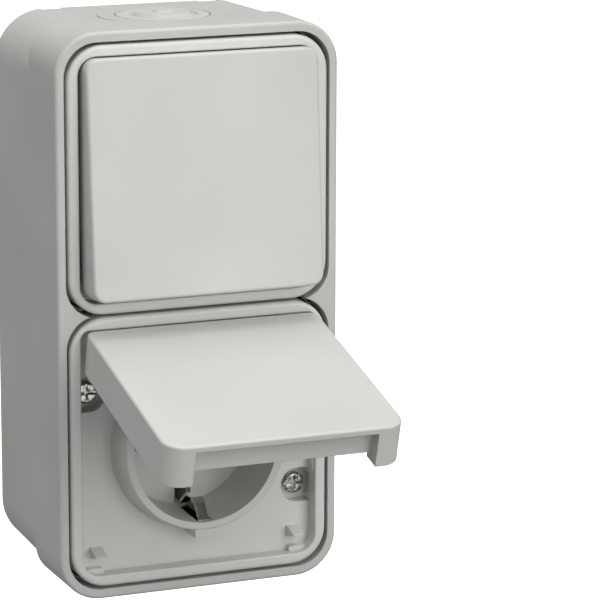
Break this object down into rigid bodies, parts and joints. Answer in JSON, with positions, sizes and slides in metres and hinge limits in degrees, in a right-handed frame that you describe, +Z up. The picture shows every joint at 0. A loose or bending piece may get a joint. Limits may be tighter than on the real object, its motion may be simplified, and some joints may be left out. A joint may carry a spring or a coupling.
{
  "type": "switch and socket combination",
  "caption": "Upright surface-mounted box with a rocker switch above an earthed socket under a hinged splash lid.",
  "frame": {"origin": "centre of the pattern of wall screw holes, on the flat back of the box", "axes": "+X to the right seen from the front, +Y into the wall, +Z up"},
  "size_m": [0.0766, 0.1137, 0.1498],
  "materials": {
    "housing_plastic": "fine moulded satin, light grey",
    "cover_plastic": "fine moulded satin, light grey",
    "rocker_plastic": "fine moulded satin, light grey",
    "insert_plastic": "plain moulded, off-white",
    "entry_rubber": "soft matt, light grey",
    "seal_rubber": "soft matt, dark",
    "contact_brass": "stamped, bare",
    "nickel_strip": "nickel-plated, bright",
    "zinc_steel": "zinc-plated, satin",
    "pin_steel": "bright drawn wire",
    "spring_steel": "spring wire"
  },
  "bodies": {
    "box": {"housing": "housing_plastic", "switch_frame": "cover_plastic", "socket_cover": "cover_plastic", "cable_seal_top": "entry_rubber", "cable_seal_bottom": "entry_rubber", "switch_frame_seal": "seal_rubber", "socket_frame_seal": "seal_rubber", "switch_insert_cover": "insert_plastic", "switch_base": "insert_plastic", "socket_base": "insert_plastic", "switch_contact_fixed": "contact_brass", "switch_contact_common": "contact_brass", "contact_sleeve_left": "contact_brass", "contact_sleeve_right": "contact_brass", "earth_strap": "nickel_strip", "switch_screw_left": "zinc_steel", "switch_screw_right": "zinc_steel", "socket_screw_left": "zinc_steel", "socket_screw_right": "zinc_steel", "switch_terminal_screws": "zinc_steel", "socket_terminal_screws": "zinc_steel", "hinge_pin_left": "pin_steel", "hinge_pin_right": "pin_steel"},
    "lid": {"lid": "cover_plastic", "lid_seal": "seal_rubber"},
    "rocker": {"rocker": "rocker_plastic", "toggle_cradle": "insert_plastic", "toggle_plunger": "insert_plastic", "toggle_spring": "spring_steel"},
    "contact_arm": {"contact_arm": "contact_brass"}
  },
  "joints": [
    {"name": "lid_hinge", "type": "hinge", "parent": "box", "child": "lid", "pos_m": [0, -0.0556, -0.0067], "axis": [-1, 0, 0], "range_deg": [-75, 30]},
    {"name": "rocker_tilt", "type": "hinge", "parent": "box", "child": "rocker", "pos_m": [0, -0.0466, 0.03605], "axis": [1, 0, 0], "range_deg": [0, 9.4]},
    {"name": "contact_arm_tilt", "type": "hinge", "parent": "box", "child": "contact_arm", "pos_m": [0, -0.0346, 0.03605], "axis": [1, 0, 0], "range_deg": [-14, 0]}
  ],
  "couplings": [
    {"joint": "contact_arm_tilt", "follows": "rocker_tilt", "ratio": -1.4894}
  ]
}
